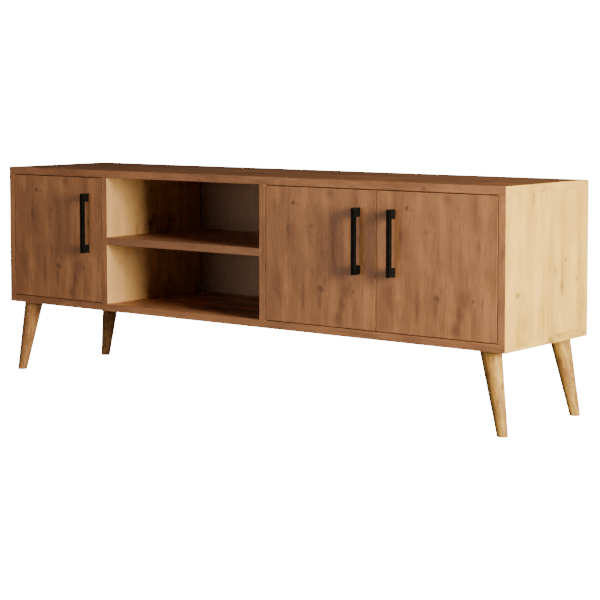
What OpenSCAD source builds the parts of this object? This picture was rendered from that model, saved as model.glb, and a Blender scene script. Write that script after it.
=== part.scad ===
// Low TV stand: a board carcass on four splayed turned legs, with one door on the left,
// an open bay with a shelf, and a pair of doors on the right.
// Frame: origin on the floor at the centre of the footprint, +X right, +Y back, +Z up.

/* [Carcass] */
// Overall width
body_w = 1500; // [1100:10:1900]
// Depth of the boards, without the back board
body_d = 350; // [300:5:450]
// Height of the carcass, without the legs
body_h = 350; // [300:5:450]
// Thickness of every board and door
board_t = 18; // [16:1:22]
// Thickness of the back boards
back_t = 3; // [2.5:0.1:5]
// How far the back boards stay inside the carcass outline
back_inset = 1; // [0:0.5:3]

/* [Bays] */
// Clear width of the left cupboard
left_clear_w = 314; // [250:1:400]
// Clear width of the open bay
bay_clear_w = 488; // [300:1:600]
// Gap round each door
door_gap = 2; // [1.5:0.1:3]

/* [Legs] */
// Height of the legs
leg_h = 180; // [120:5:220]
// Diameter of a leg where it meets the carcass
leg_top_d = 46.8; // [40:0.2:55]
// Diameter of a leg at the floor
leg_foot_d = 23.6; // [18:0.2:30]
// Leg centre to carcass end, at the top
leg_top_inset_x = 54; // [45:1:80]
// Leg centre to carcass front or back, at the top
leg_top_inset_y = 32; // [30:1:60]
// Leg centre to carcass end, at the floor
leg_foot_inset_x = 17.5; // [14:0.5:60]
// Leg centre to carcass front or back, at the floor
leg_foot_inset_y = 22; // [14:0.5:60]

/* [Handles] */
// Distance between the two handle screws
handle_spacing = 128; // [96:32:160]
// Side of the square handle bar
handle_bar = 9; // [6:0.5:12]
// Height of each handle post
handle_post_h = 20; // [12:1:24]
// How far a handle stands out from the door
handle_projection = 23; // [20:1:40]
// Handle centre to the free edge of its door
handle_edge_inset = 46.5; // [35:0.5:70]
// Door top to handle top
handle_top_inset = 39.5; // [20:0.5:60]

/* [Hinges] */
// Diameter of a hinge cup
cup_d = 35; // [35:1:40]
// Depth of a hinge cup
cup_depth = 12; // [11:0.5:13]
// Door edge to the edge of the cup bore
cup_edge_inset = 5; // [4:0.5:6]
// Door end to hinge centre
hinge_end_inset = 60; // [50:1:90]

/* [Fittings] */
// Diameter of the joining dowels and of the cam bolt bores
dowel_d = 8; // [6:1:10]
// Length of a dowel
dowel_l = 30; // [25:1:40]
// Length of a dowel or bolt inside the board that it stands in
face_bore_l = 11; // [9:0.5:13]
// Diameter of a cam lock
cam_d = 15; // [12:1:18]
// Thickness of a cam lock
cam_t = 12.5; // [11:0.5:14]
// Cam lock centre to the board edge that it pulls
cam_edge_inset = 34; // [24:1:40]
// Diameter of the leg bolts
leg_bolt_d = 8; // [6:1:10]
// Length of a leg bolt inside the leg
leg_bolt_in_leg = 30; // [25:1:45]
// Length of the threaded inserts in the bottom board
insert_l = 13; // [10:0.5:15]
// Outer diameter of the threaded inserts
insert_d = 12; // [11:0.5:14]
// Length of a back board nail
nail_l = 20; // [15:1:25]

/* [Hidden] */
$fn = 48;

wood = [0.66, 0.46, 0.31];
leg_wood = [0.80, 0.62, 0.42];
back_brown = [0.36, 0.26, 0.18];
black_metal = [0.06, 0.06, 0.06];
plated_steel = [0.72, 0.72, 0.74];
zinc = [0.60, 0.60, 0.62];
beech = [0.80, 0.66, 0.48];

// Overall depth runs from the handle fronts to the back boards, and is centred on Y = 0.
front_y = handle_projection - (handle_projection + body_d + back_t) / 2;
back_y = front_y + body_d;
shell_back_y = back_y + back_t;
half_w = body_w / 2;
inner_h = body_h - 2 * board_t;
floor_z = leg_h + board_t;
ceiling_z = leg_h + body_h - board_t;
top_z = leg_h + body_h;

// The left face of each upright board, from left to right.
left_divider_x = -half_w + board_t + left_clear_w;
right_divider_x = left_divider_x + board_t + bay_clear_w;
upright_x = [-half_w, left_divider_x, right_divider_x, half_w - board_t];
bay_left_x = left_divider_x + board_t;
right_clear_w = half_w - board_t - (right_divider_x + board_t);
shelf_z = floor_z + (inner_h - board_t) / 2;

// Doors
left_door_w = left_clear_w - 2 * door_gap;
pair_door_w = (right_clear_w - 3 * door_gap) / 2;
door_h = inner_h - 2 * door_gap;
door_z = floor_z + door_gap;
hinge_axis_gap = door_gap / 2;
left_axis_x = -half_w + board_t + hinge_axis_gap;
centre_axis_x = right_divider_x + board_t + hinge_axis_gap;
right_axis_x = half_w - board_t - hinge_axis_gap;
hinge_z = [door_z + hinge_end_inset, door_z + door_h - hinge_end_inset];

// Handles
handle_z = door_z + door_h - handle_top_inset - (handle_spacing + handle_post_h) / 2;
handle_screw_d = 4;
handle_screw_grip = 9;
handle_clearance_d = 4.5;
pan_head_d = 8;
pan_head_t = 2.4;

// Dowels, cams and bolts: rows counted from the carcass front.
dowel_rows = [58, 258];
cam_rows = [90, 290];
bolt_thread_d = 5;
bolt_shank_d = dowel_d - 0.2;
bolt_neck_d = 4;
bolt_head_d = 6.8;
bolt_head_l = 3;
cam_pocket_d = bolt_head_d + 0.6;
cam_slot_l = 9;
cam_slot_w = 2;
cam_slot_deep = 2;

// Nails
nail_d = 1.5;
nail_head_d = 3.4;
nail_head_t = 0.6;
nail_pitch = 125;
nail_end_inset = 30;

// Hinges, in each hinge's own frame: the axis at the origin, +X towards the free edge of
// the door, +Y into the carcass.
cup_wall = 0.8;
cup_r = cup_d / 2;
cup_x = hinge_axis_gap + cup_edge_inset + cup_r;
cup_floor_y = board_t - cup_depth;
flange_t = 1.2;
flange_w = 22;
flange_h = 58;
cup_screw_spacing = 48;
cup_screw_d = 3.5;
cup_screw_l = 13;
cup_screw_head_t = 1.4;
cup_screw_head_d = 6.5;
sheet_t = 1.2;
link_r = 1.5;
link_h = 9;
link_pin_d = 2.4;
link_pin_slack = 0.05;
pin_eye_r = 2.2;
cheek_in = link_h / 2 + 0.6;
nose_clearance = 0.31;
link_end_clearance = 1.18;

// The pin stands so far from the axis that the arm's nose passes the cup's rim as the door
// swings, and the link fills the length that is left in the cup.
cup_inner_r = cup_r - cup_wall;
rim_x = cup_x - sqrt(pow(cup_inner_r, 2) - pow(cheek_in + sheet_t, 2));
rim_reach = norm([rim_x, board_t + flange_t]);
pin_y = cup_floor_y + cup_wall + pin_eye_r + 0.5;
pin_x = sqrt(pow(rim_reach + pin_eye_r + nose_clearance, 2) - pow(pin_y, 2));
cup_end_x = cup_x + sqrt(pow(cup_inner_r, 2) - pow(link_h / 2, 2));
link_l = cup_end_x - pin_x - link_r - link_end_clearance;

arm_start_y = board_t + flange_t + 0.9;
arm_end_y = board_t + 60;
arm_corner = 2;
arm_neck = 6;
arm_bend_y = [5, 12, 16];
arm_web_y = 18;
plate_t = 2;
plate_y = board_t + 37;
plate_w = 18;
plate_h = 48;
plate_screw_spacing = 32;
plate_screw_d = 4;
plate_screw_l = 14;
screw_head_t = 1.6;
plate_screw_head_d = 7;
countersink_core_d = 5;
arm_w = 10;
arm_x = plate_t + 2;
side_x = -hinge_axis_gap;
arm_screw_d = 4;
arm_screw_head_d = 8;
arm_screw_inset = 10;

// Carcass

module bored_board(size, place) {
    difference() {
        translate(place) cube(size);
        dowel_set();
        cam_bolt_bores();
        cam_bores();
        plate_screw_set();
    }
}

module top_panel() {
    color(wood) bored_board([body_w, body_d, board_t], [-half_w, front_y, ceiling_z]);
}

module bottom_panel() {
    color(wood) difference() {
        bored_board([body_w, body_d, board_t], [-half_w, front_y, leg_h]);
        leg_insert_set(bore = true);
    }
}

module upright(i) {
    color(wood) bored_board([board_t, body_d, inner_h], [upright_x[i], front_y, floor_z]);
}

module left_side_panel() { upright(0); }
module left_divider() { upright(1); }
module right_divider() { upright(2); }
module right_side_panel() { upright(3); }

module middle_shelf() {
    color(wood) bored_board([bay_clear_w, body_d, board_t], [bay_left_x, front_y, shelf_z]);
}

// Back boards meet behind the middle of each divider.
back_seams = [-half_w + back_inset, left_divider_x + board_t / 2,
    right_divider_x + board_t / 2, half_w - back_inset];
back_seam_gap = 0.5;

module back_board(i) {
    left = back_seams[i] + (i > 0 ? back_seam_gap : 0);
    right = back_seams[i + 1] - (i < 2 ? back_seam_gap : 0);
    color(back_brown) translate([left, back_y, leg_h + back_inset])
        cube([right - left, back_t, body_h - 2 * back_inset]);
}

module back_board_left() { back_board(0); }
module back_board_middle() { back_board(1); }
module back_board_right() { back_board(2); }

module nail() {
    translate([0, shell_back_y, 0]) rotate([90, 0, 0]) {
        cylinder(d = nail_d, h = nail_l);
        cylinder(d = nail_head_d, h = nail_head_t);
    }
}

module nail_row(x0, x1, z) {
    count = max(2, round((x1 - x0) / nail_pitch) + 1);
    for (k = [0 : count - 1])
        translate([x0 + k * (x1 - x0) / (count - 1), 0, z]) nail();
}

// Nails run along the top and bottom boards, and two hold each back board to an upright.
module back_nails() {
    color(zinc) for (i = [0 : 2]) {
        x0 = back_seams[i] + nail_end_inset;
        x1 = back_seams[i + 1] - nail_end_inset;
        nail_row(x0, x1, leg_h + board_t / 2);
        nail_row(x0, x1, top_z - board_t / 2);
        for (z = [floor_z + inner_h / 3, floor_z + inner_h * 2 / 3]) {
            translate([back_seams[i] + (i > 0 ? board_t / 4 : board_t / 2), 0, z]) nail();
            translate([back_seams[i + 1] - (i < 2 ? board_t / 4 : board_t / 2), 0, z]) nail();
        }
    }
}

// Joints between boards. A joint stands at a board's face, with its own +Z pointing from the
// board that takes the screw into the end of the board that takes the cam.
module at_joints(rows) {
    for (x = upright_x, y = rows, end = [0, 1])
        translate([x + board_t / 2, front_y + y, end ? ceiling_z : floor_z])
            mirror([0, 0, end]) children();
    for (y = rows, end = [0, 1])
        translate([end ? right_divider_x : bay_left_x, front_y + y, shelf_z + board_t / 2])
            mirror([end, 0, 0]) rotate([0, 90, 0]) children();
}

module dowel_set() {
    at_joints(dowel_rows) translate([0, 0, -face_bore_l]) cylinder(d = dowel_d, h = dowel_l);
}

module dowels() { color(beech) dowel_set(); }

module cam_bolt() {
    shank_l = cam_edge_inset - cam_d / 2;
    translate([0, 0, -face_bore_l]) cylinder(d = bolt_thread_d, h = face_bore_l);
    cylinder(d = bolt_shank_d, h = shank_l - 2);
    cylinder(d = bolt_neck_d, h = cam_edge_inset - bolt_head_l);
    translate([0, 0, cam_edge_inset - bolt_head_l]) cylinder(d = bolt_head_d, h = bolt_head_l);
}

module cam_bolts() { color(zinc) at_joints(cam_rows) cam_bolt(); }

module cam_bolt_bores() {
    at_joints(cam_rows) {
        translate([0, 0, -face_bore_l]) cylinder(d = bolt_thread_d, h = face_bore_l + 1);
        cylinder(d = dowel_d, h = cam_edge_inset);
    }
}

// Cams sit flush in the face of each upright that a door hides, and under the shelf.
cam_side = [1, -1, 1, -1];

module at_cams() {
    for (i = [0 : 3], y = cam_rows, z = [floor_z + cam_edge_inset, ceiling_z - cam_edge_inset])
        translate([upright_x[i] + board_t / 2, front_y + y, z])
            rotate([0, 90 * cam_side[i], 0])
                rotate(z > floor_z + inner_h / 2 ? 0 : 180)
                    scale([cam_side[i], 1, 1]) children();
    for (y = cam_rows, end = [0, 1])
        translate([end ? right_divider_x - cam_edge_inset : bay_left_x + cam_edge_inset,
            front_y + y, shelf_z + board_t / 2])
            mirror([end, 0, 0]) rotate([180, 0, 0]) children();
}

// A cam lies with its axis along Z and its face at +board_t / 2. Its bolt comes in along -X.
module cam_bores() {
    at_cams() translate([0, 0, board_t / 2 - cam_t]) cylinder(d = cam_d, h = cam_t + 0.01);
}

module cam_lock() {
    difference() {
        translate([0, 0, board_t / 2 - cam_t]) cylinder(d = cam_d, h = cam_t);
        rotate([0, -90, 0]) cylinder(d = cam_pocket_d, h = cam_d);
        rotate([0, 90, 0]) cylinder(d = cam_pocket_d, h = bolt_head_l);
        for (a = [0, 90])
            rotate(a) translate([0, 0, board_t / 2])
                cube([cam_slot_l, cam_slot_w, 2 * cam_slot_deep], center = true);
    }
}

module cam_locks() { color(zinc) at_cams() cam_lock(); }

// Legs: a tapered turned leg leans outwards, and is cut level at the floor and at the carcass.
// Its cone is turned half round so that its seam line lies on the side it leans to.
leg_splay_x = leg_top_inset_x - leg_foot_inset_x;
leg_splay_y = leg_top_inset_y - leg_foot_inset_y;
leg_lean = sqrt(leg_splay_x * leg_splay_x + leg_splay_y * leg_splay_y);
leg_axis_l = sqrt(leg_lean * leg_lean + leg_h * leg_h);
leg_tilt = atan(leg_lean / leg_h);
leg_spare = 20;
leg_taper = (leg_top_d - leg_foot_d) / 2 / leg_axis_l;

module at_leg(right, back) {
    translate([(right ? 1 : -1) * (half_w - leg_top_inset_x),
        back ? shell_back_y - leg_top_inset_y : front_y + leg_top_inset_y, leg_h]) children();
}

module leg(right, back) {
    lean_dir = atan2((back ? 1 : -1) * leg_splay_y, (right ? 1 : -1) * leg_splay_x);
    color(leg_wood) difference() {
        intersection() {
            at_leg(right, back) rotate([0, 180 - leg_tilt, lean_dir])
                rotate(180) translate([0, 0, -leg_spare])
                    cylinder(r1 = leg_top_d / 2 + leg_spare * leg_taper,
                        r2 = leg_foot_d / 2 - leg_spare * leg_taper,
                        h = leg_axis_l + 2 * leg_spare);
            translate([-body_w, -body_d, 0]) cube([2 * body_w, 2 * body_d, leg_h]);
        }
        at_leg(right, back) translate([0, 0, -leg_bolt_in_leg])
            cylinder(d = leg_bolt_d, h = leg_bolt_in_leg + 1);
    }
}

module leg_front_left() { leg(false, false); }
module leg_front_right() { leg(true, false); }
module leg_back_left() { leg(false, true); }
module leg_back_right() { leg(true, true); }

module at_legs() {
    for (right = [false, true], back = [false, true]) at_leg(right, back) children();
}

module leg_bolts() {
    color(plated_steel) at_legs() translate([0, 0, -leg_bolt_in_leg])
        cylinder(d = leg_bolt_d, h = leg_bolt_in_leg + insert_l);
}

module leg_insert_set(bore) {
    at_legs() difference() {
        translate([0, 0, bore ? -1 : 0]) cylinder(d = insert_d, h = insert_l + (bore ? 1 : 0));
        if (!bore) translate([0, 0, -1]) cylinder(d = leg_bolt_d, h = insert_l + 2);
    }
}

module leg_inserts() { color(zinc) leg_insert_set(bore = false); }

// Hinges

module at_hinges(door) {
    x = [left_axis_x, centre_axis_x, right_axis_x][door];
    for (z = hinge_z) translate([x, front_y, z]) mirror([door == 2 ? 1 : 0, 0, 0]) children();
}

module plate_screw_places() {
    for (door = [0 : 2]) at_hinges(door) for (s = [-1, 1])
        translate([side_x + plate_t, plate_y, s * plate_screw_spacing / 2])
            rotate([0, -90, 0]) children();
}

module plate_screw_set() {
    plate_screw_places() cylinder(d = plate_screw_d, h = plate_screw_l);
}

module plate_screws() {
    color(plated_steel) plate_screw_places() {
        cylinder(d = plate_screw_d, h = plate_screw_l);
        translate([0, 0, -screw_head_t])
            cylinder(d1 = countersink_core_d, d2 = plate_screw_head_d, h = screw_head_t);
    }
}

// A mounting plate is a cross: a wing along Z for its screws and a rib along Y under the arm.
module hinge_plates(door) {
    color(plated_steel) difference() {
        at_hinges(door) translate([side_x, 0, 0]) {
            translate([0, plate_y - plate_w / 2, -plate_h / 2]) cube([plate_t, plate_w, plate_h]);
            translate([0, arm_start_y + arm_bend_y[1], -cheek_in])
                cube([arm_x, arm_end_y - arm_start_y - arm_bend_y[1], 2 * cheek_in]);
        }
        plate_screw_set();
    }
}

module left_hinge_plates() { hinge_plates(0); }
module centre_hinge_plates() { hinge_plates(1); }
module right_hinge_plates() { hinge_plates(2); }

// The arm is a steel channel with two cheeks: it runs along the plate, then bends round the
// back of the door and reaches into the cup, where its cheeks hold the link pin.
module arm_cheek() {
    inner_x = side_x + arm_x;
    difference() {
        union() {
            polygon([[inner_x, arm_start_y + arm_corner], [inner_x + arm_corner, arm_start_y],
                [pin_x - arm_neck, arm_start_y], [pin_x - pin_eye_r, pin_y + arm_corner],
                [pin_x - pin_eye_r, pin_y], [pin_x + pin_eye_r, pin_y],
                [pin_x + pin_eye_r, arm_start_y + arm_bend_y[0]],
                [pin_x - arm_neck, arm_start_y + arm_bend_y[1]],
                [inner_x + arm_w, arm_start_y + arm_bend_y[2]],
                [inner_x + arm_w, arm_end_y], [inner_x, arm_end_y]]);
            translate([pin_x, pin_y]) circle(pin_eye_r);
        }
        translate([pin_x, pin_y]) circle(d = link_pin_d);
    }
}

module arm_web() {
    translate([side_x + arm_x + arm_w - sheet_t, arm_start_y + arm_web_y, -cheek_in])
        cube([sheet_t, arm_end_y - arm_start_y - arm_web_y, 2 * cheek_in]);
}

module arm_screw_place() {
    translate([side_x + arm_x + arm_w, arm_end_y - arm_screw_inset, 0])
        rotate([0, -90, 0]) children();
}

module hinge_arms(door) {
    color(plated_steel) at_hinges(door) difference() {
        union() {
            translate([0, 0, cheek_in]) linear_extrude(sheet_t) arm_cheek();
            translate([0, 0, -cheek_in - sheet_t]) linear_extrude(sheet_t) arm_cheek();
            arm_web();
        }
        arm_screw_place() cylinder(d = arm_screw_d, h = arm_w);
    }
}

module left_hinge_arms() { hinge_arms(0); }
module centre_hinge_arms() { hinge_arms(1); }
module right_hinge_arms() { hinge_arms(2); }

module arm_screws() {
    color(zinc) for (door = [0 : 2]) at_hinges(door) arm_screw_place() {
        cylinder(d = arm_screw_d, h = arm_w);
        translate([0, 0, -screw_head_t]) cylinder(d = arm_screw_head_d, h = screw_head_t);
    }
}

module link_pins() {
    color(zinc) for (door = [0 : 2]) at_hinges(door)
        translate([pin_x, pin_y, -cheek_in - sheet_t])
            cylinder(d = link_pin_d, h = 2 * (cheek_in + sheet_t));
}

// A link swings on the pin. Its far end lies in the cup when the door is shut.
module hinge_links(door) {
    color(plated_steel) at_hinges(door) translate([pin_x, pin_y, -link_h / 2])
        difference() {
            union() {
                cylinder(r = pin_eye_r, h = link_h);
                translate([0, -link_r, 0]) cube([link_l, 2 * link_r, link_h]);
                translate([link_l, 0, 0]) cylinder(r = link_r, h = link_h);
            }
            translate([0, 0, -1]) cylinder(d = link_pin_d + 2 * link_pin_slack, h = link_h + 2);
        }
}

module left_hinge_links() { hinge_links(0); }
module centre_hinge_links() { hinge_links(1); }
module right_hinge_links() { hinge_links(2); }

// A cup is pressed steel: a round pot with a flange that lies on the back of the door.
module cup_screw_places() {
    for (s = [-1, 1])
        translate([cup_x, board_t + flange_t, s * cup_screw_spacing / 2])
            rotate([90, 0, 0]) children();
}

module cup_bore() {
    translate([cup_x, cup_floor_y, 0]) rotate([-90, 0, 0]) cylinder(d = cup_d, h = cup_depth + 1);
    cup_screw_places() cylinder(d = cup_screw_d, h = cup_screw_l);
}

module hinge_cups(door) {
    color(plated_steel) at_hinges(door) difference() {
        union() {
            translate([cup_x, cup_floor_y, 0]) rotate([-90, 0, 0])
                cylinder(d = cup_d, h = cup_depth);
            translate([cup_x - flange_w / 2, board_t, -flange_h / 2])
                cube([flange_w, flange_t, flange_h]);
            translate([cup_x, board_t, 0]) rotate([-90, 0, 0]) cylinder(d = cup_d, h = flange_t);
        }
        translate([cup_x, cup_floor_y + cup_wall, 0]) rotate([-90, 0, 0])
            cylinder(r = cup_inner_r, h = cup_depth + flange_t);
        cup_screw_places() cylinder(d = cup_screw_d, h = cup_screw_l);
    }
}

module left_hinge_cups() { hinge_cups(0); }
module centre_hinge_cups() { hinge_cups(1); }
module right_hinge_cups() { hinge_cups(2); }

module cup_screws(door) {
    color(zinc) at_hinges(door) cup_screw_places() {
        cylinder(d = cup_screw_d, h = cup_screw_l);
        translate([0, 0, -cup_screw_head_t])
            cylinder(d1 = countersink_core_d, d2 = cup_screw_head_d, h = cup_screw_head_t);
    }
}

module left_cup_screws() { cup_screws(0); }
module centre_cup_screws() { cup_screws(1); }
module right_cup_screws() { cup_screws(2); }

// Doors and handles

door_left_x = [left_axis_x + hinge_axis_gap, centre_axis_x + hinge_axis_gap,
    right_axis_x - hinge_axis_gap - pair_door_w];
door_w = [left_door_w, pair_door_w, pair_door_w];
handle_x = [door_left_x[0] + door_w[0] - handle_edge_inset,
    door_left_x[1] + door_w[1] - handle_edge_inset,
    door_left_x[2] + handle_edge_inset];

module at_handle_screws(door) {
    for (s = [-1, 1])
        translate([handle_x[door], front_y + board_t, handle_z + s * handle_spacing / 2])
            rotate([90, 0, 0]) children();
}

module door(i) {
    color(wood) difference() {
        translate([door_left_x[i], front_y, door_z]) cube([door_w[i], board_t, door_h]);
        at_hinges(i) cup_bore();
        at_handle_screws(i) translate([0, 0, -1])
            cylinder(d = handle_clearance_d, h = board_t + 2);
    }
}

module left_door() { door(0); }
module centre_door() { door(1); }
module right_door() { door(2); }

module handle(i) {
    color(black_metal) difference() {
        translate([handle_x[i] - handle_bar / 2, front_y - handle_projection, handle_z]) {
            translate([0, 0, -(handle_spacing + handle_post_h) / 2])
                cube([handle_bar, handle_bar, handle_spacing + handle_post_h]);
            for (s = [-1, 1])
                translate([0, 0, s * handle_spacing / 2 - handle_post_h / 2])
                    cube([handle_bar, handle_projection, handle_post_h]);
        }
        at_handle_screws(i) cylinder(d = handle_screw_d, h = board_t + handle_screw_grip);
    }
}

module left_handle() { handle(0); }
module centre_handle() { handle(1); }
module right_handle() { handle(2); }

module handle_screws(i) {
    color(zinc) at_handle_screws(i) {
        cylinder(d = handle_screw_d, h = board_t + handle_screw_grip);
        translate([0, 0, -pan_head_t]) cylinder(d = pan_head_d, h = pan_head_t);
    }
}

module left_handle_screws() { handle_screws(0); }
module centre_handle_screws() { handle_screws(1); }
module right_handle_screws() { handle_screws(2); }

top_panel();
bottom_panel();
left_side_panel();
right_side_panel();
left_divider();
right_divider();
middle_shelf();
back_board_left();
back_board_middle();
back_board_right();
back_nails();
dowels();
cam_bolts();
cam_locks();
leg_front_left();
leg_front_right();
leg_back_left();
leg_back_right();
leg_bolts();
leg_inserts();
left_hinge_plates();
centre_hinge_plates();
right_hinge_plates();
plate_screws();
left_hinge_arms();
centre_hinge_arms();
right_hinge_arms();
arm_screws();
link_pins();
left_door();
left_handle();
left_handle_screws();
left_hinge_cups();
left_cup_screws();
centre_door();
centre_handle();
centre_handle_screws();
centre_hinge_cups();
centre_cup_screws();
right_door();
right_handle();
right_handle_screws();
right_hinge_cups();
right_cup_screws();
left_hinge_links();
centre_hinge_links();
right_hinge_links();
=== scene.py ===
"""A low TV stand: wood-print boards on four splayed turned legs, with three doors on
concealed hinges, black bar handles and an open bay with a shelf."""

import bmesh
import bpy
from math import cos, pi, radians, sin
from mathutils import Matrix, Vector


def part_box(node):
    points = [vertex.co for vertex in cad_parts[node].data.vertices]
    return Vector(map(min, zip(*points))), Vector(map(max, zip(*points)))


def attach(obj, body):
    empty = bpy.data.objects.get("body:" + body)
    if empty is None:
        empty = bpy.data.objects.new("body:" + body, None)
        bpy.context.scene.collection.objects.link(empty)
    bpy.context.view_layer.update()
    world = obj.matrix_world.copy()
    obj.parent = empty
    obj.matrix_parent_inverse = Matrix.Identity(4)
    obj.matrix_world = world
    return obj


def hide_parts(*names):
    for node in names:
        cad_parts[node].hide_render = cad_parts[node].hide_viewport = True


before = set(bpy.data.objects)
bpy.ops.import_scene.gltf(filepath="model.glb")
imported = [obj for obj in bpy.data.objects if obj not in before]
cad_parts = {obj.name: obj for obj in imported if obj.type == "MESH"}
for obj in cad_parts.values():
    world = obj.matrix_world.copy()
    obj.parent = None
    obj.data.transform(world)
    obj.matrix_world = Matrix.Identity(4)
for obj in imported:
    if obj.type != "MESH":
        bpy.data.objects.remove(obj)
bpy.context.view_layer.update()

X, Y, Z = 0, 1, 2


# ---------------------------------------------------------------- studio
# A level, fairly distant eye to the right of the stand, a soft lamp low on the right that
# rakes along the doors, weak fills, and a pale floor that runs into a pale background.

camera_data = bpy.data.cameras.new("camera")
camera_data.lens = 105.6
camera_data.sensor_width = 36
camera_data.shift_y = -0.148
camera_data.clip_end = 60
camera = bpy.data.objects.new("camera", camera_data)
camera.location = (2.657, -3.292, 0.733)
camera.rotation_euler = (radians(86), 0, radians(38.07))
bpy.context.scene.collection.objects.link(camera)
bpy.context.scene.camera = camera


def lamp(name, place, aim, width, height, power, colour):
    data = bpy.data.lights.new(name, "AREA")
    data.shape = "RECTANGLE"
    data.size = width
    data.size_y = height
    data.energy = power
    data.color = colour
    item = bpy.data.objects.new(name, data)
    item.location = place
    item.rotation_euler = (Vector(aim) - Vector(place)).to_track_quat("-Z", "Y").to_euler()
    item.visible_camera = False
    bpy.context.scene.collection.objects.link(item)


lamp("key", (2.98, -0.70, 0.88), (0.0, -0.1, 0.35), 0.72, 1.24, 220, (1.0, 0.960, 0.76))
lamp("front_fill", (-1.3, -4.0, 0.42), (-0.1, 0.0, 0.35), 2.0, 1.2, 47, (1.0, 0.96, 0.92))
lamp("back_fill", (-0.6, 3.6, 0.30), (0.0, 0.0, 0.33), 2.6, 0.36, 42, (1.0, 0.96, 0.90))
lamp("top_fill", (0.3, -0.7, 2.6), (0.0, 0.0, 0.5), 1.4, 1.4, 5, (1.0, 0.97, 0.92))


def wire(tree, socket, value):
    """Feeds a socket from another socket, or sets its own value."""
    if isinstance(value, bpy.types.NodeSocket):
        tree.links.new(value, socket)
    else:
        socket.default_value = value


def eye_sees(tree, shown, rest, end):
    """Shows one shader to the camera, while another one lights the rest of the scene."""
    path = tree.nodes.new("ShaderNodeLightPath")
    both = tree.nodes.new("ShaderNodeMixShader")
    tree.links.new(path.outputs["Is Camera Ray"], both.inputs[0])
    tree.links.new(rest.outputs[0], both.inputs[1])
    tree.links.new(shown.outputs[0], both.inputs[2])
    tree.links.new(both.outputs[0], end.inputs["Surface"])


studio_white = (1.0, 0.995, 0.985, 1)
world = bpy.data.worlds.new("studio")
world.use_nodes = True
sky = world.node_tree
ambient = sky.nodes["Background"]
ambient.inputs["Color"].default_value = (1.0, 0.98, 0.95, 1)
ambient.inputs["Strength"].default_value = 0.045
backdrop = sky.nodes.new("ShaderNodeBackground")
backdrop.inputs["Color"].default_value = studio_white
backdrop.inputs["Strength"].default_value = 22
eye_sees(sky, backdrop, ambient, sky.nodes["World Output"])
bpy.context.scene.world = world

floor_size = 24
bpy.ops.mesh.primitive_plane_add(size=floor_size)
floor = bpy.context.object
floor.name = "floor"
floor_paint = bpy.data.materials.new("floor_paint")
floor_paint.use_nodes = True
tree = floor_paint.node_tree
glow = tree.nodes.new("ShaderNodeEmission")
glow.inputs["Color"].default_value = studio_white
glow.inputs["Strength"].default_value = 20
paint = tree.nodes.new("ShaderNodeBsdfDiffuse")
paint.inputs["Color"].default_value = (0.22, 0.21, 0.20, 1)
eye_sees(tree, glow, paint, tree.nodes["Material Output"])
floor.data.materials.append(floor_paint)


# ---------------------------------------------------------------- carcass boards
# Seven 18 mm melamine boards with a printed pine pattern and a thin edge band. Top and
# bottom run over the sides; dowels and cam bolts hold the joints from inside.

edge_round = 0.0005
round_steps = 3
# Points nearer than this, in metres, count as one.
touching = 1e-5
# Each face of a board takes its part of the printed sheet this far from the next one.
face_shift = 1.7
# A face counts as looking left or right when its normal leans this far that way.
facing_side = 0.6


def calc(tree, operation, *values, clamp=False):
    node = tree.nodes.new("ShaderNodeMath")
    node.operation = operation
    node.use_clamp = clamp
    for socket, value in zip(node.inputs, values):
        wire(tree, socket, value)
    return node.outputs[0]


def vector_calc(tree, operation, *values):
    node = tree.nodes.new("ShaderNodeVectorMath")
    node.operation = operation
    for socket, value in zip(node.inputs, values):
        wire(tree, socket, value)
    return node.outputs["Value" if operation in ("LENGTH", "DISTANCE") else "Vector"]


def noise(tree, place, stretch, detail=2.0, roughness=0.5):
    """Noise whose cells are 1 / stretch metres across, in each direction."""
    node = tree.nodes.new("ShaderNodeTexNoise")
    wire(tree, node.inputs["Vector"], vector_calc(tree, "MULTIPLY", place, stretch))
    node.inputs["Scale"].default_value = 1.0
    node.inputs["Detail"].default_value = detail
    node.inputs["Roughness"].default_value = roughness
    return node.outputs["Fac"]


def step_up(tree, value, low, high, to_low=0.0, to_high=1.0):
    """A smooth rise from to_low to to_high as value goes from low to high."""
    node = tree.nodes.new("ShaderNodeMapRange")
    node.interpolation_type = "SMOOTHSTEP"
    for name, number in zip(("Value", "From Min", "From Max", "To Min", "To Max"),
                            (value, low, high, to_low, to_high)):
        wire(tree, node.inputs[name], number)
    return node.outputs["Result"]


def blend_colour(tree, share, first, second, how="MIX"):
    node = tree.nodes.new("ShaderNodeMix")
    node.data_type = "RGBA"
    node.blend_type = how
    for index, value in ((0, share), (6, first), (7, second)):
        wire(tree, node.inputs[index], value)
    return node.outputs[2]


def new_group(name, inputs, outputs):
    """An empty shader group with its sockets, given as (name, kind, default)."""
    group = bpy.data.node_groups.new(name, "ShaderNodeTree")
    kinds = {"value": "NodeSocketFloat", "colour": "NodeSocketColor", "vector": "NodeSocketVector"}
    for label, kind, default in inputs:
        socket = group.interface.new_socket(label, in_out="INPUT", socket_type=kinds[kind])
        if default is not None:
            socket.default_value = default
    for label, kind in outputs:
        group.interface.new_socket(label, in_out="OUTPUT", socket_type=kinds[kind])
    start = group.nodes.new("NodeGroupInput")
    end = group.nodes.new("NodeGroupOutput")
    return group, start.outputs, end.inputs


def place_group(tree, group, **values):
    node = tree.nodes.new("ShaderNodeGroup")
    node.node_tree = group
    for label, value in values.items():
        wire(tree, node.inputs[label.replace("_", " ")], value)
    return node.outputs


def split(tree, vector):
    node = tree.nodes.new("ShaderNodeSeparateXYZ")
    wire(tree, node.inputs[0], vector)
    return node.outputs


def join(tree, x, y, z=0.0):
    node = tree.nodes.new("ShaderNodeCombineXYZ")
    for socket, value in zip(node.inputs, (x, y, z)):
        wire(tree, socket, value)
    return node.outputs[0]


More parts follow.
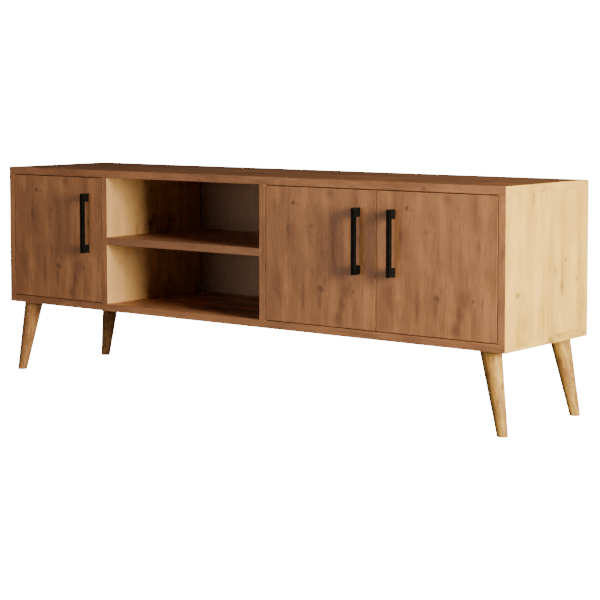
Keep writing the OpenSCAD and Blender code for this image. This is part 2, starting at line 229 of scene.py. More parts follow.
# One soft oval mark in the print: dark for a knot or a stain, light for pale sapwood.
mark_group, given, result = new_group(
    "print_mark",
    [("Print", "vector", None), ("Place", "vector", None),
     ("Half size", "vector", (0.004, 0.004, 1)), ("Strength", "value", 0.5)],
    [("Mark", "value"), ("Push", "value")])
offset = vector_calc(mark_group, "SUBTRACT", given["Print"], given["Place"])
offset = vector_calc(mark_group, "DIVIDE", offset, given["Half size"])
across, along, _ = split(mark_group, offset)
away = vector_calc(mark_group, "LENGTH", join(mark_group, across, along))
fade = step_up(mark_group, away, 0.10, 1.55, 1.0, 0.0)
wire(mark_group, result["Mark"], calc(mark_group, "MULTIPLY", fade, given["Strength"]))
near = calc(mark_group, "MULTIPLY", across, step_up(mark_group, away, 0.2, 5.0, 1.0, 0.0))
wire(mark_group, result["Push"], calc(mark_group, "MULTIPLY", near, -0.0030))

# The printed pine pattern, in metres: X across the grain, Y along it.
print_group, given, result = new_group(
    "pine_print",
    [("Print", "vector", None), ("Light", "colour", (0.60, 0.36, 0.20, 1)),
     ("Dark", "colour", (0.33, 0.165, 0.078, 1)), ("Line", "colour", (0.15, 0.065, 0.026, 1))],
    [("Colour", "colour"), ("Roughness", "value"), ("Height", "value")])
sheet_w = 0.640
sheet_l = 0.640
mm = 0.001
# Marks whose half length is under this, in mm, are knots and push the fibres aside.
knot_limit = 9
# Each mark: place across and along, half size across and along, in mm, and how dark it is.
dark_marks = [
    (80, 273, 6, 5.5, 1.0), (92, 271, 11, 2.4, 0.42), (67, 250, 4.5, 42, 0.4),
    (66, 213, 6.5, 18, 0.7), (160, 82, 11, 8, 0.95), (157, 58, 6.5, 24, 0.5),
    (170, 98, 5, 14, 0.45), (233, 84, 17, 25, 0.58), (219, 52, 9, 19, 0.66),
    (207, 20, 11, 16, 0.66), (34, 86, 18, 44, 0.4), (108, 62, 5, 32, 0.52), (37, 250, 8, 28, 0.36),
    (185, 297, 10, 12, 0.5), (132, 224, 8, 5, 0.5), (160, 166, 7, 7, 0.32),
    (265, 198, 4.5, 18, 0.5), (250, 83, 4, 4, 0.8), (274, 72, 4, 26, 0.42),
    (182, 120, 3.5, 60, 0.3), (150, 250, 14, 34, 0.16), (392, 118, 7, 6, 0.9),
    (420, 300, 12, 30, 0.42), (520, 210, 8, 6, 0.9), (470, 70, 6, 40, 0.46), (120, 470, 8, 6, 0.9),
    (220, 540, 14, 30, 0.46), (480, 500, 7, 5, 0.9), (580, 420, 6, 44, 0.42)]
pale_marks = [
    (60, 146, 4.5, 12, 0.75), (60, 81, 4.5, 9, 0.8), (64, 44, 3, 14, 0.6), (112, 285, 15, 26, 0.5),
    (272, 100, 3, 12, 0.5), (289, 60, 9, 60, 0.4), (78, 150, 10, 34, 0.4), (30, 290, 12, 20, 0.3),
    (450, 240, 6, 40, 0.5), (550, 560, 12, 40, 0.5), (350, 520, 10, 60, 0.4)]
g = print_group
sheet = vector_calc(g, "MODULO", vector_calc(g, "ADD", given["Print"], (sheet_w * 20, sheet_l * 20, 0)),
                    (sheet_w, sheet_l, 1))
ragged = join(g, calc(g, "MULTIPLY_ADD", noise(g, given["Print"], (300, 60, 1), 3.0), 0.010, -0.005),
              calc(g, "MULTIPLY_ADD", noise(g, given["Print"], (260, 50, 2), 3.0), 0.016, -0.008))
ragged = vector_calc(g, "ADD", sheet, ragged)


def add_marks(marks, place):
    """The strongest of a list of marks at each point, and their push on the fibres."""
    total = 0.0
    push = 0.0
    for across, along, half_w, half_l, strength in marks:
        out = place_group(g, mark_group, Print=place, Place=(across * mm, along * mm, 0),
                          Half_size=(half_w * mm, half_l * mm, 1), Strength=strength)
        total = calc(g, "MAXIMUM", total, out["Mark"])
        if half_l < knot_limit:
            push = calc(g, "ADD", push, out["Push"])
    return total, push


dark, push = add_marks(dark_marks, ragged)
pale, _ = add_marks(pale_marks, ragged)
slow = calc(g, "MULTIPLY_ADD", noise(g, given["Print"], (6, 2.2, 1)), 0.030, -0.015)
quick = calc(g, "MULTIPLY_ADD", noise(g, given["Print"], (60, 22, 1), 2.0), 0.0042, -0.0021)
across, along, _ = split(g, given["Print"])
bent = calc(g, "ADD", calc(g, "ADD", across, push), calc(g, "ADD", slow, quick))
fibre = join(g, bent, along)
# Broad soft bands, drifting clouds and fine fibre streaks make the ground tone.
bands = noise(g, fibre, (30, 2.6, 1), 1.0)
cloud = noise(g, fibre, (17, 9, 1), 3.0, 0.6)
streak = noise(g, fibre, (250, 13, 1), 4.0, 0.65)
tone = calc(g, "ADD", calc(g, "MULTIPLY", bands, 0.46), calc(g, "MULTIPLY", cloud, 0.40))
tone = calc(g, "ADD", tone, calc(g, "MULTIPLY", streak, 0.40))
tone = calc(g, "ADD", tone, calc(g, "MULTIPLY", pale, 0.14))
tone = step_up(g, tone, 0.45, 0.85)
# Growth lines: contours of a stretched field, so that they close into long flames.
field = calc(g, "ADD", calc(g, "MULTIPLY", noise(g, fibre, (15, 1.9, 1), 1.0), 15.0),
             calc(g, "MULTIPLY", bent, 46.0))
wave = calc(g, "SINE", calc(g, "MULTIPLY", field, 2 * pi))
line = calc(g, "POWER", calc(g, "MULTIPLY_ADD", wave, 0.5, 0.5), 6.0)
line_zone = step_up(g, noise(g, fibre, (17, 4.2, 1), 2.0), 0.50, 0.64)
line = calc(g, "MULTIPLY", calc(g, "MULTIPLY", line, line_zone), step_up(g, streak, 0.30, 0.55))
hair = step_up(g, noise(g, fibre, (330, 28, 1), 3.0, 0.6), 0.48, 0.66)
dash = step_up(g, noise(g, fibre, (190, 26, 1), 3.0, 0.6), 0.54, 0.66)
dash = calc(g, "MULTIPLY", dash, step_up(g, noise(g, fibre, (26, 8, 1), 2.0), 0.44, 0.60))
fine = calc(g, "ADD", calc(g, "MULTIPLY", hair, 0.22), calc(g, "MULTIPLY", dash, 0.29))
marks = calc(g, "ADD", calc(g, "MULTIPLY", line, 0.44), fine, clamp=True)
torn = step_up(g, noise(g, fibre, (230, 34, 1), 3.0, 0.65), 0.38, 0.60, 0.70, 1.35)
dark = calc(g, "MULTIPLY", dark, torn, clamp=True)
colour = blend_colour(g, tone, given["Dark"], given["Light"])
colour = blend_colour(g, calc(g, "MULTIPLY", marks, 0.62), colour, given["Line"])
colour = blend_colour(g, calc(g, "MULTIPLY", dark, 0.92), colour, given["Line"])
wire(g, result["Colour"], colour)
wire(g, result["Roughness"], calc(g, "MULTIPLY_ADD", marks, 0.14, 0.50))
pores = calc(g, "ADD", calc(g, "MULTIPLY", hair, 0.4), dash)
wire(g, result["Height"], calc(g, "MULTIPLY", pores, -1.0))

# How near a point on a board is to the board's edge, and so how rubbed it is.
wear_group, given, result = new_group(
    "edge_wear", [("Low", "vector", None), ("High", "vector", None), ("Width", "value", 0.0014)],
    [("Rubbed", "value"), ("Grime", "value")])
g = wear_group
here = g.nodes.new("ShaderNodeTexCoord").outputs["Object"]
from_low = vector_calc(g, "SUBTRACT", here, given["Low"])
to_high = vector_calc(g, "SUBTRACT", given["High"], here)
a, b, c = split(g, vector_calc(g, "MINIMUM", from_low, to_high))
least = calc(g, "MINIMUM", a, b)
most = calc(g, "MAXIMUM", a, b)
edge = calc(g, "MAXIMUM", least, calc(g, "MINIMUM", most, c))
patchy = noise(g, here, (60, 60, 60), 4.0, 0.65)
edge = calc(g, "ADD", edge, calc(g, "MULTIPLY_ADD", patchy, 0.0042, -0.0021))
wire(g, result["Rubbed"], step_up(g, edge, 0.0, given["Width"], 1.0, 0.0))
wire(g, result["Grime"], step_up(g, noise(g, here, (7, 7, 7), 5.0, 0.6), 0.45, 0.80))


def attribute(tree, name):
    node = tree.nodes.new("ShaderNodeAttribute")
    node.attribute_name = name
    return node.outputs["Vector"]


def finish_material(name, colour_of, metal=0.0, shine=0.5, bump=0.1, depth=0.0004):
    """A Principled material whose colour_of(tree) gives colour, roughness and height."""
    material = bpy.data.materials.new(name)
    material.use_nodes = True
    tree = material.node_tree
    shader = tree.nodes["Principled BSDF"]
    colour, roughness, height = colour_of(tree)
    wire(tree, shader.inputs["Base Color"], colour)
    wire(tree, shader.inputs["Roughness"], roughness)
    shader.inputs["Metallic"].default_value = metal
    shader.inputs["Specular IOR Level"].default_value = shine
    relief = tree.nodes.new("ShaderNodeBump")
    relief.inputs["Strength"].default_value = bump
    relief.inputs["Distance"].default_value = depth
    wire(tree, relief.inputs["Height"], height)
    wire(tree, shader.inputs["Normal"], relief.outputs["Normal"])
    return material


def board_finish(light, dark, line):
    """The printed pattern with rubbed edges and a little handling grime."""
    def colour_of(tree):
        uv = tree.nodes.new("ShaderNodeUVMap")
        uv.uv_map = "print"
        out = place_group(tree, print_group, Print=uv.outputs[0], Light=light, Dark=dark, Line=line)
        worn = place_group(tree, wear_group, Low=attribute(tree, "low"), High=attribute(tree, "high"))
        rubbed = calc(tree, "MULTIPLY", worn["Rubbed"], 0.10)
        colour = blend_colour(tree, rubbed, out["Colour"], (0.60, 0.30, 0.14, 1))
        grime = calc(tree, "MULTIPLY", worn["Grime"], 0.08)
        colour = blend_colour(tree, grime, colour, (0.20, 0.09, 0.04, 1))
        roughness = calc(tree, "ADD", out["Roughness"], grime)
        return colour, roughness, out["Height"]
    return colour_of


pine_light = (0.545, 0.227, 0.089, 1)
pine_dark = (0.285, 0.106, 0.040, 1)
pine_line = (0.150, 0.050, 0.018, 1)
board_material = finish_material("board_print", board_finish(pine_light, pine_dark, pine_line),
                                 bump=0.25, depth=0.0002)
# The shelf takes a darker copy of the board print: painted shade, standing in for the shade inside the
# open bay.
shelf_painted_shade = finish_material("shelf_print_painted_shade", board_finish(
    (0.395, 0.174, 0.075, 1), (0.310, 0.128, 0.053, 1), (0.170, 0.062, 0.023, 1)),
    bump=0.25, depth=0.0002)
# The two pale sheets are painted light. They are lighter copies of the print for the faces that look
# left or right, and they stand in for the strong low lamp light on the end panels and into the open
# bay.
outer_painted_light = finish_material("side_print_painted_light", board_finish(
    (0.92, 0.555, 0.112, 1), (0.60, 0.340, 0.058, 1), (0.18, 0.082, 0.018, 1)), bump=0.25, depth=0.0002)
inner_painted_light = finish_material("divider_print_painted_light", board_finish(
    (0.72, 0.395, 0.146, 1), (0.58, 0.316, 0.114, 1), (0.32, 0.150, 0.052, 1)), bump=0.25, depth=0.0002)


def merged_copy(node):
    """The node's own shape with its triangles joined into whole faces."""
    bm = bmesh.new()
    bm.from_mesh(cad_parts[node].data)
    bmesh.ops.remove_doubles(bm, verts=bm.verts, dist=touching)
    bmesh.ops.dissolve_limit(bm, angle_limit=radians(0.8), verts=bm.verts, edges=bm.edges)
    return bm


def to_object(bm, name, material):
    mesh = bpy.data.meshes.new(name)
    bm.normal_update()
    bm.to_mesh(mesh)
    bm.free()
    item = bpy.data.objects.new(name, mesh)
    mesh.materials.append(material)
    bpy.context.scene.collection.objects.link(item)
    return item


def outline_edges(bm, low, high):
    """The edges along the twelve edges of the board's own box."""
    def walls(vert):
        return {(axis, side) for axis in (X, Y, Z) for side, corner in ((0, low), (1, high))
                if abs(vert.co[axis] - corner[axis]) < touching}
    return [e for e in bm.edges if len(walls(e.verts[0]) & walls(e.verts[1])) >= 2]


def lay_print(bm, low, grain, start):
    """Lays the pattern on each face, along the grain, or along the band on an end."""
    layer = bm.loops.layers.uv.new("print")
    for face in bm.faces:
        facing = max((X, Y, Z), key=lambda axis: abs(face.normal[axis]))
        others = [axis for axis in (X, Y, Z) if axis != facing]
        along = grain if grain in others else others[0]
        across = others[0] if along == others[1] else others[1]
        turn = 0.0 if face.normal[facing] < 0 else face_shift
        for loop in face.loops:
            u = loop.vert.co[across] - low[across] + start[0] + turn * (facing + 1)
            v = loop.vert.co[along] - low[along] + start[1] + turn
            loop[layer].uv = (u, v)


def set_box(item, low, high):
    for name, corner in (("low", low), ("high", high)):
        data = item.data.attributes.new(name, "FLOAT_VECTOR", "POINT").data
        data.foreach_set("vector", list(corner) * len(data))


def board(node, body, grain, start, material, rounding, pale=None, painted_light_sides=()):
    """A board with its real bores, softly rounded edges and the print laid on it. The face
    that looks left (-1) or right (1) takes the pale sheet, where one is given. That sheet is
    painted light: a lighter copy of the print standing in for the strong lamp light on the sides."""
    low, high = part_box(node)
    bm = merged_copy(node)
    bmesh.ops.bevel(bm, geom=outline_edges(bm, low, high), offset=rounding,
                    segments=round_steps, profile=0.5, affect="EDGES", clamp_overlap=True)
    bm.normal_update()
    lay_print(bm, low, grain, start)
    for face in bm.faces:
        face.material_index = int(any(face.normal.x * side > facing_side for side in painted_light_sides))
    item = to_object(bm, node + "_board", material)
    if pale is not None:
        item.data.materials.append(pale)
    set_box(item, low, high)
    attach(item, body)
    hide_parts(node)
    return item


# The last two columns give the pale sheet, which is painted light, and the sides that take it.
for node, grain, start, sheet, pale, painted_light_sides in [
        ("top_panel", X, (0.13, 0.21), board_material, outer_painted_light, (-1, 1)),
        ("bottom_panel", X, (0.42, 0.05), board_material, outer_painted_light, (-1, 1)),
        ("left_side_panel", Z, (0.30, 0.40), board_material, outer_painted_light, (-1,)),
        ("right_side_panel", Z, (0.05, 0.33), board_material, outer_painted_light, (1,)),
        ("left_divider", Z, (0.22, 0.11), board_material, inner_painted_light, (1,)),
        ("right_divider", Z, (0.37, 0.26), board_material, inner_painted_light, (-1,)),
        ("middle_shelf", X, (0.50, 0.47), shelf_painted_shade, None, ())]:
    board(node, "carcass", grain, start, sheet, edge_round, pale, painted_light_sides)


# ---------------------------------------------------------------- joining fittings
# Beech dowels and zinc cam bolts hidden inside the joints, and the cam locks whose faces
# show inside the cupboards and under the shelf.

def metal_finish(base, rough, scale=900):
    """Plated or coated metal: fine mottling and faint rubbing marks."""
    def colour_of(tree):
        here = tree.nodes.new("ShaderNodeTexCoord").outputs["Object"]
        fine = noise(tree, here, (scale, scale, scale), 3.0, 0.6)
        smear = noise(tree, here, (90, 90, 25), 4.0, 0.6)
        dull = tuple(0.72 * part for part in base[:3]) + (1,)
        colour = blend_colour(tree, step_up(tree, smear, 0.40, 0.75), base, dull)
        roughness = calc(tree, "ADD", calc(tree, "MULTIPLY_ADD", smear, 0.22, rough - 0.11),
                         calc(tree, "MULTIPLY_ADD", fine, 0.10, -0.05))
        return colour, roughness, fine
    return colour_of


def beech(tree):
    here = tree.nodes.new("ShaderNodeTexCoord").outputs["Object"]
    flecks = noise(tree, here, (700, 700, 90), 3.0, 0.6)
    colour = blend_colour(tree, step_up(tree, flecks, 0.35, 0.70),
                          (0.52, 0.36, 0.21, 1), (0.66, 0.49, 0.31, 1))
    return colour, calc(tree, "MULTIPLY_ADD", flecks, 0.2, 0.55), flecks


zinc = finish_material("zinc_plate", metal_finish((0.66, 0.66, 0.68, 1), 0.44), metal=1.0,
                       bump=0.08, depth=0.0001)
dowel_material = finish_material("dowel_beech", beech, bump=0.2, depth=0.0001)


def dress(node, material):
    """Gives a node that keeps its own shape its finish."""
    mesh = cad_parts[node].data
    mesh.materials.clear()
    mesh.materials.append(material)


dress("dowels", dowel_material)
dress("cam_bolts", zinc)


def softened(node, body, material, radius, sharp=35):
    """The node's own shape with its sharp edges eased, as pressed or cast metal has them."""
    bm = merged_copy(node)
    edges = [e for e in bm.edges if len(e.link_faces) == 2 and e.calc_face_angle(0) > radians(sharp)]
    bmesh.ops.bevel(bm, geom=edges, offset=radius, segments=2, profile=0.5,
                    affect="EDGES", clamp_overlap=True)
    item = to_object(bm, node + "_piece", material)
    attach(item, body)
    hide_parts(node)
    return item


softened("cam_locks", "carcass", zinc, 0.0002)


# ---------------------------------------------------------------- back
# Three thin fibreboards, printed dark brown outside and in, nailed to the back edges of the
# carcass with small round-headed nails.

def fibreboard(tree):
    here = tree.nodes.new("ShaderNodeTexCoord").outputs["Object"]
    cloud = noise(tree, here, (6, 6, 14), 4.0, 0.6)
    strand = noise(tree, here, (260, 260, 12), 3.0, 0.6)
    speck = step_up(tree, noise(tree, here, (900, 900, 500), 2.0), 0.58, 0.72)
    strands = calc(tree, "MULTIPLY", step_up(tree, strand, 0.4, 0.7), 0.3)
    colour = blend_colour(tree, step_up(tree, cloud, 0.2, 0.8),
                          (0.225, 0.122, 0.062, 1), (0.265, 0.148, 0.076, 1))
    colour = blend_colour(tree, strands, colour, (0.165, 0.086, 0.042, 1))
    colour = blend_colour(tree, calc(tree, "MULTIPLY", speck, 0.25), colour, (0.36, 0.22, 0.12, 1))
    return colour, calc(tree, "MULTIPLY_ADD", strand, 0.2, 0.55), strand


back_material = finish_material("back_fibreboard", fibreboard, bump=0.3, depth=0.0002)
for node in ("back_board_left", "back_board_middle", "back_board_right"):
    softened(node, "carcass", back_material, 0.0004)


def islands(node):
    """The box of each separate solid in a node, as (low, high), in a steady order."""
    bm = bmesh.new()
    bm.from_mesh(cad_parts[node].data)
    bmesh.ops.remove_doubles(bm, verts=bm.verts, dist=touching)
    left = set(bm.verts)
    boxes = []
    while left:
        grown = [left.pop()]
        found = []
        while grown:
            vert = grown.pop()
            found.append(vert.co.copy())
            for edge in vert.link_edges:
                other = edge.other_vert(vert)
                if other in left:
                    left.remove(other)
                    grown.append(other)
        boxes.append((Vector([min(p[i] for p in found) for i in range(3)]),
                      Vector([max(p[i] for p in found) for i in range(3)])))
    bm.free()
    return sorted(boxes, key=lambda pair: tuple(round(value, 5) for value in pair[0]))


def lathe(profile, steps):
    """A closed turned shape about Z from (radius, height) points, from axis to axis."""
    bm = bmesh.new()
    angles = [2 * pi * k / steps for k in range(steps)]
    rings = []
    for radius, height in profile:
        if radius == 0:
            rings.append([bm.verts.new((0, 0, height))])
        else:
            rings.append([bm.verts.new((radius * cos(a), radius * sin(a), height)) for a in angles])
    for lower, upper in zip(rings, rings[1:]):
        for k in range(steps):
            n = (k + 1) % steps
            corners = [lower[k % len(lower)], lower[n % len(lower)],
                       upper[n % len(upper)], upper[k % len(upper)]]
            bm.faces.new(list(dict.fromkeys(corners)))
    bmesh.ops.recalc_face_normals(bm, faces=bm.faces)
    return bm


def scatter_tree():
    """Geometry nodes that set one shape at every point, turned as the point says."""
    group = bpy.data.node_groups.new("set_fasteners", "GeometryNodeTree")
    for label, kind in (("Places", "NodeSocketGeometry"), ("Shape", "NodeSocketObject"),
                        ("Finish", "NodeSocketMaterial")):
        group.interface.new_socket(label, in_out="INPUT", socket_type=kind)
    group.interface.new_socket("Result", in_out="OUTPUT", socket_type="NodeSocketGeometry")
    start = group.nodes.new("NodeGroupInput")
    shape = group.nodes.new("GeometryNodeObjectInfo")
    spin = group.nodes.new("GeometryNodeInputNamedAttribute")
    spin.data_type = "FLOAT_VECTOR"
    spin.inputs["Name"].default_value = "spin"
    turn = group.nodes.new("FunctionNodeEulerToRotation")
    spread = group.nodes.new("GeometryNodeInstanceOnPoints")
    real = group.nodes.new("GeometryNodeRealizeInstances")
    paint = group.nodes.new("GeometryNodeSetMaterial")
    end = group.nodes.new("NodeGroupOutput")
    link = group.links.new
    link(start.outputs["Places"], spread.inputs["Points"])
    link(start.outputs["Shape"], shape.inputs["Object"])
    link(shape.outputs["Geometry"], spread.inputs["Instance"])
    link(spin.outputs["Attribute"], turn.inputs["Euler"])
    link(turn.outputs["Rotation"], spread.inputs["Rotation"])
    link(spread.outputs["Instances"], real.inputs["Geometry"])
    link(real.outputs["Geometry"], paint.inputs["Geometry"])
    link(start.outputs["Finish"], paint.inputs["Material"])
    link(paint.outputs["Geometry"], end.inputs["Result"])
    return group


fastener_tree = scatter_tree()


def plain_mesh(item):
    """Turns an object with live modifiers into a plain mesh in its place."""
    bpy.context.view_layer.update()
    shown = item.evaluated_get(bpy.context.evaluated_depsgraph_get())
    done = bpy.data.meshes.new_from_object(shown)
    item.modifiers.clear()
    item.data = done
    return item


def fasteners(node, body, shape, points, turns, material):
    """Sets one fastener shape at each point of a node and lets the whole row ride."""
    mesh = bpy.data.meshes.new(node + "_places")
    mesh.from_pydata([tuple(p) for p in points], [], [])
    spins = mesh.attributes.new("spin", "FLOAT_VECTOR", "POINT").data
    spins.foreach_set("vector", [value for turn in turns for value in turn])
    item = bpy.data.objects.new(node + "_row", mesh)
    bpy.context.scene.collection.objects.link(item)
    modifier = item.modifiers.new("set_fasteners", "NODES")
    modifier.node_group = fastener_tree
    sockets = {s.name: s.identifier for s in fastener_tree.interface.items_tree
               if s.in_out == "INPUT"}
    modifier[sockets["Shape"]] = shape
    modifier[sockets["Finish"]] = material
    plain_mesh(item)
    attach(item, body)
    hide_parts(node)
    return item


def pattern(bm, name):
    """A shape that only the geometry nodes use."""
    item = to_object(bm, name, zinc)
    bpy.context.scene.collection.objects.unlink(item)
    return item


nails = islands("back_nails")
nail_l = nails[0][1].y - nails[0][0].y
nail_r = 0.00075
nail_head_r = (nails[0][1].x - nails[0][0].x) / 2
nail_profile = [(0, -nail_l), (nail_r, -nail_l + 0.002), (nail_r, -0.0007),
                (nail_head_r * 0.8, -0.0006), (nail_head_r, -0.0004),
                (nail_head_r * 0.92, -0.00015), (0, 0)]
nail_steps = 12
nail_shape = pattern(lathe(nail_profile, nail_steps), "nail_shape")
heads = [((low.x + high.x) / 2, high.y, (low.z + high.z) / 2) for low, high in nails]
fasteners("back_nails", "carcass", nail_shape, heads,
          [(radians(-90), 0.6 * k, 0) for k in range(len(heads))], zinc)


# ---------------------------------------------------------------- legs
# Four turned legs of honey-coloured hardwood under a satin lacquer. Each is cut level at
# the floor and under the carcass, and screws onto a bolt that stands in a threaded insert.

leg_steps = 72
foot_round = 0.0016
foot_steps = 5
shaft_steps = 14
ring_pitch = 0.0075


def leg_wood(light, dark):
    """Turned timber: rings cut across by the taper, long fibre streaks and darker mottling."""
    def colour_of(tree):
        place = attribute(tree, "turned")
        x, y, z = split(tree, place)
        swirl = calc(tree, "MULTIPLY_ADD", noise(tree, place, (44, 44, 17), 3.0, 0.6), 0.016, -0.008)
        ring_at = join(tree, calc(tree, "ADD", x, swirl),
                       calc(tree, "ADD", y, calc(tree, "MULTIPLY", swirl, 0.7)),
                       calc(tree, "MULTIPLY", z, 0.09))
        ring_at = vector_calc(tree, "ADD", ring_at, (0.045, 0.018, 0))
        from_heart = vector_calc(tree, "LENGTH", ring_at)
        rings = calc(tree, "SINE", calc(tree, "MULTIPLY", from_heart, 2 * pi / ring_pitch))
        rings = calc(tree, "POWER", calc(tree, "MULTIPLY_ADD", rings, 0.5, 0.5), 2.2)
        cloud = noise(tree, place, (50, 50, 20), 3.0, 0.6)
        streak = noise(tree, place, (420, 420, 22), 3.0, 0.6)
        mottle = step_up(tree, noise(tree, place, (95, 95, 42), 4.0, 0.72), 0.50, 0.66)
        colour = blend_colour(tree, step_up(tree, cloud, 0.30, 0.70), dark, light)
        streaks = calc(tree, "MULTIPLY", step_up(tree, streak, 0.45, 0.72), 0.40)
        for share, stain in ((calc(tree, "MULTIPLY", rings, 0.55), (0.30, 0.130, 0.036, 1)),
                             (streaks, (0.24, 0.105, 0.032, 1)),
                             (calc(tree, "MULTIPLY", mottle, 0.70), (0.17, 0.064, 0.026, 1))):
            colour = blend_colour(tree, share, colour, stain)
        height = calc(tree, "MULTIPLY", calc(tree, "ADD", streak, rings), -0.5)
        return colour, calc(tree, "MULTIPLY_ADD", streak, 0.16, 0.34), height
    return colour_of


# Two copies of the same wood. The lighter golden one is painted light for the right legs near the lamp,
# and the darker, redder one is painted shade for the left legs away from it.
painted_light_wood = leg_wood((0.56, 0.335, 0.066, 1), (0.27, 0.128, 0.038, 1))
painted_shade_wood = leg_wood((0.52, 0.260, 0.106, 1), (0.27, 0.118, 0.052, 1))
painted_light_leg_finish = finish_material("leg_painted_light_wood", painted_light_wood, shine=0.12, bump=0.12, depth=0.0002)
painted_shade_leg_finish = finish_material("leg_painted_shade_wood", painted_shade_wood, shine=0.12, bump=0.12, depth=0.0002)


def ring_of(node, height):
    """Centre and half width of a leg's own level cut at a height."""
    points = [v.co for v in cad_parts[node].data.vertices if abs(v.co.z - height) < 1e-4]
    low = Vector([min(p[i] for p in points) for i in range(2)])
    high = Vector([max(p[i] for p in points) for i in range(2)])
    return (low + high) / 2, (high - low) / 2


def leg(node, turn, material):
    low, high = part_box(node)
    foot, foot_r = ring_of(node, low.z)
    top, top_r = ring_of(node, high.z)
    bm = bmesh.new()
    local = bm.verts.layers.float_vector.new("turned")
    heights = [(0.0, 1 - foot_round / foot_r.x)]
    for k in range(1, foot_steps + 1):
        bend = pi / 2 * k / foot_steps
        heights.append((foot_round * (1 - cos(bend)), 1 - foot_round / foot_r.x * (1 - sin(bend))))
    tall = high.z - low.z
    for k in range(1, shaft_steps + 1):
        heights.append((foot_round + (tall - foot_round) * k / shaft_steps, 1.0))
    rings = []
    for height, scale in heights:
        share = height / tall
        centre = foot.lerp(top, share)
        radius = foot_r.lerp(top_r, share) * scale
        ring = []
        for k in range(leg_steps):
            angle = 2 * pi * k / leg_steps
            vert = bm.verts.new((centre.x + radius.x * cos(angle),
                                 centre.y + radius.y * sin(angle), low.z + height))
            vert[local] = (vert.co.x - centre.x + turn[0],
                           vert.co.y - centre.y + turn[1], height + turn[2])
            ring.append(vert)
        rings.append(ring)
    for lower, upper in zip(rings, rings[1:]):
        for k in range(leg_steps):
            n = (k + 1) % leg_steps
            bm.faces.new((lower[k], lower[n], upper[n], upper[k]))
    bm.faces.new(rings[0][::-1])
    bm.faces.new(rings[-1])
    for face in bm.faces:
        face.smooth = len(face.verts) == 4
    item = to_object(bm, node + "_turned", material)
    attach(item, "carcass")
    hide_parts(node)


# The left legs take the painted-shade copy of the wood and the right legs the painted-light copy.
for node, turn, material in [
        ("leg_front_left", (0.0, 0.0, 0.0), painted_shade_leg_finish),
        ("leg_front_right", (0.031, 0.012, 0.31), painted_light_leg_finish),
        ("leg_back_left", (0.012, 0.044, 0.74), painted_shade_leg_finish),
        ("leg_back_right", (0.052, 0.023, 1.27), painted_light_leg_finish)]:
    leg(node, turn, material)
dress("leg_bolts", zinc)
dress("leg_inserts", zinc)


# ---------------------------------------------------------------- doors
# Three identical 18 mm doors cut from the same printed sheet, so that the same figure
# comes back on each. They sit flush in the frame with a thin dark gap all round.

door_material = finish_material("door_print", board_finish(pine_light, pine_dark, pine_line),
                                bump=0.25, depth=0.0002)
door_round = 0.0003
sides = ("left", "centre", "right")
for side in sides:
    board(side + "_door", side + "_leaf", Z, (0.0, 0.0), door_material, door_round)


# ---------------------------------------------------------------- handles
# Square black powder-coated bars, bent back into a broad foot at each end, and held by
# two pan-headed screws from behind the door.

def powder_coat(tree):
    here = tree.nodes.new("ShaderNodeTexCoord").outputs["Object"]
    orange_peel = noise(tree, here, (1500, 1500, 1500), 2.0, 0.5)
    smear = noise(tree, here, (60, 60, 30), 4.0, 0.6)
    colour = blend_colour(tree, step_up(tree, smear, 0.35, 0.75),
                          (0.0028, 0.0026, 0.0024, 1), (0.006, 0.0055, 0.005, 1))
    return colour, calc(tree, "MULTIPLY_ADD", smear, 0.16, 0.42), orange_peel


black_coat = finish_material("black_powder_coat", powder_coat, shine=0.05, bump=0.15, depth=0.0001)
for side in sides:
    softened(side + "_handle", side + "_leaf", black_coat, 0.0010, sharp=60)


dome_steps = 6
head_steps = 28


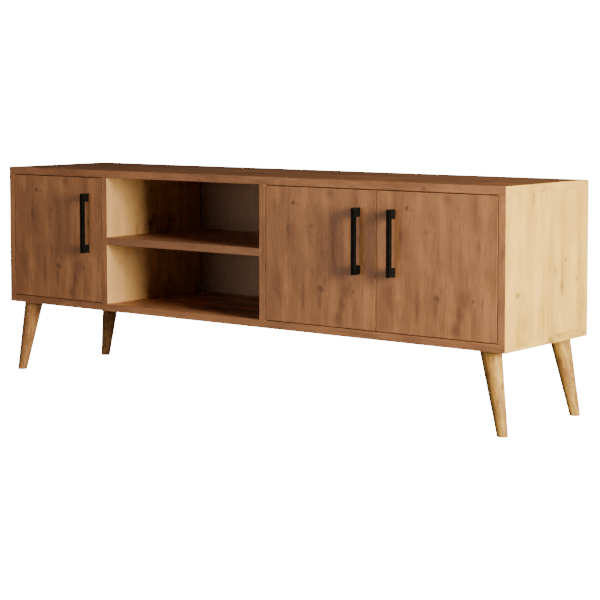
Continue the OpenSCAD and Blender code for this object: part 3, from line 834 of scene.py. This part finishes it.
def cross_head(radius, height, shank_r, shank_l, dome=0.35):
    """A screw with its head above Z = 0, its shank below, and a cross cut in the head."""
    profile = [(0, -shank_l), (shank_r * 0.3, -shank_l), (shank_r, -shank_l + shank_r), (shank_r, 0),
               (radius * 0.96, 0), (radius, height * 0.12)]
    for k in range(1, dome_steps):
        bend = pi / 2 * k / dome_steps
        profile.append((radius * cos(bend) ** dome, height * (0.12 + 0.88 * sin(bend))))
    profile += [(0, height)]
    head = to_object(lathe(profile, head_steps), "screw_head", zinc)
    for angle in (0, pi / 2):
        cutter = bmesh.new()
        bmesh.ops.create_cube(cutter, size=1.0)
        bmesh.ops.scale(cutter, vec=(radius * 1.15, radius * 0.26, height * 1.3), verts=cutter.verts)
        bmesh.ops.rotate(cutter, cent=(0, 0, 0), matrix=Matrix.Rotation(angle, 3, "Z"),
                         verts=cutter.verts)
        bmesh.ops.translate(cutter, vec=(0, 0, height), verts=cutter.verts)
        blade = to_object(cutter, "screw_cut", zinc)
        cut = head.modifiers.new("cut", "BOOLEAN")
        cut.operation = "DIFFERENCE"
        cut.object = blade
        plain_mesh(head)
        bpy.data.objects.remove(blade)
    bpy.context.scene.collection.objects.unlink(head)
    return head


def screw_row(node):
    """The place and turn of each screw in a node, with their heads at the back end."""
    points = []
    for low, high in islands(node):
        middle = (low + high) / 2
        middle.y = high.y
        points.append(middle)
    turns = [(radians(-90), 0.7 * k, 0) for k in range(len(points))]
    return points, turns


screw_head_h = 0.0024
handle_screw = cross_head(0.004, screw_head_h, 0.002, 0.027)
for side in sides:
    node = side + "_handle_screws"
    points, turns = screw_row(node)
    seats = [(p[0], p[1] - screw_head_h, p[2]) for p in points]
    fasteners(node, side + "_leaf", handle_screw, seats, turns, zinc)


# ---------------------------------------------------------------- hinges
# Nickel-plated concealed hinges, two to a door: a pressed cup sunk in the door, a link
# that folds out of it, an arm, and a cross-shaped mounting plate screwed to the upright.

nickel = finish_material("nickel_plate", metal_finish((0.74, 0.73, 0.70, 1), 0.38), metal=1.0,
                         bump=0.06, depth=0.0001)
for side in sides:
    softened(side + "_hinge_cups", side + "_leaf", nickel, 0.0003)
    softened(side + "_hinge_arms", "carcass", nickel, 0.0003)
    softened(side + "_hinge_plates", "carcass", nickel, 0.0003)
    softened(side + "_hinge_links", side + "_links", nickel, 0.0003)
softened("link_pins", "carcass", nickel, 0.0002)
softened("plate_screws", "carcass", zinc, 0.0002)
softened("arm_screws", "carcass", zinc, 0.0002)
for side in sides:
    softened(side + "_cup_screws", side + "_leaf", zinc, 0.0002)
